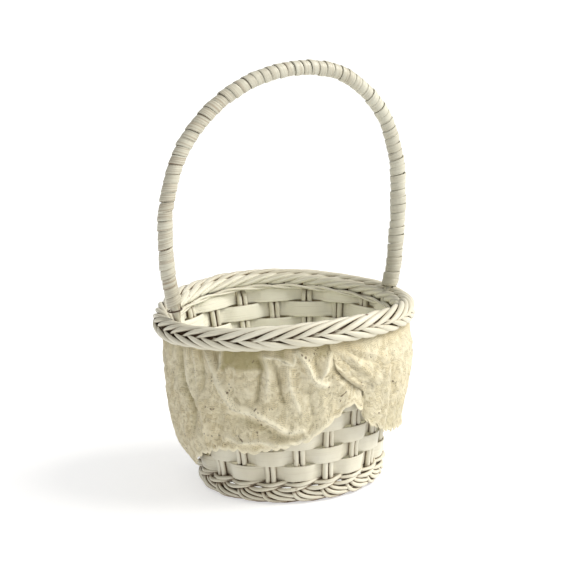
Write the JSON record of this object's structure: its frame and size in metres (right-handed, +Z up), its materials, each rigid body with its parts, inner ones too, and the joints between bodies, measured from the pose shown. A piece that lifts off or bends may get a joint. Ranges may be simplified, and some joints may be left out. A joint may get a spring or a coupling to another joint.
{
  "type": "flower girl basket",
  "caption": "Small round wicker basket with paired round stakes, flat splint weave, plaited rim, a reed-wrapped hoop handle and a gathered lace ruffle.",
  "frame": {"origin": "centre of the foot, on the plane it stands on", "axes": "+Z up, -Y towards the front, +X to the right seen from the front; the handle's plane stands 23 degrees off the XZ plane"},
  "size_m": [0.211, 0.2109, 0.3348],
  "materials": {
    "painted_splint": "whitewash paint with a brown antique wash, satin",
    "painted_rod": "whitewash paint over round reed, brown in the crevices",
    "plywood": "painted thin plywood, matt",
    "bare_cane": "cane with thin paint",
    "lace": "ivory floral net lace with a scalloped hem"
  },
  "bodies": {
    "root": {"base_board": "plywood", "stake_pair_01": "painted_rod", "stake_pair_02": "painted_rod", "stake_pair_03": "painted_rod", "stake_pair_04": "painted_rod", "stake_pair_05": "painted_rod", "stake_pair_06": "painted_rod", "stake_pair_07": "painted_rod", "stake_pair_08": "painted_rod", "stake_pair_09": "painted_rod", "stake_pair_10": "painted_rod", "stake_pair_11": "painted_rod", "stake_pair_12": "painted_rod", "stake_pair_13": "painted_rod", "stake_pair_14": "painted_rod", "stake_pair_15": "painted_rod", "stake_pair_16": "painted_rod", "stake_pair_17": "painted_rod", "stake_pair_18": "painted_rod", "stake_pair_19": "painted_rod", "stake_pair_20": "painted_rod", "weaver_row_01": "painted_splint", "weaver_row_02": "painted_splint", "weaver_row_03": "painted_splint", "weaver_row_04": "painted_splint", "weaver_row_05": "painted_splint", "weaver_row_06": "painted_splint", "weaver_row_07": "painted_splint", "weaver_row_08": "painted_splint", "weaver_row_09": "painted_splint", "weaver_row_10": "painted_splint", "rim_strand_1": "painted_rod", "rim_strand_2": "painted_rod", "rim_strand_3": "painted_rod", "foot_strand_1": "painted_rod", "foot_strand_2": "painted_rod", "foot_strand_3": "painted_rod", "foot_strand_4": "painted_rod", "twining_rod_1": "painted_rod", "twining_rod_2": "painted_rod", "handle_core": "bare_cane", "handle_wrap": "painted_splint", "lace_ruffle": "lace"}
  },
  "joints": []
}
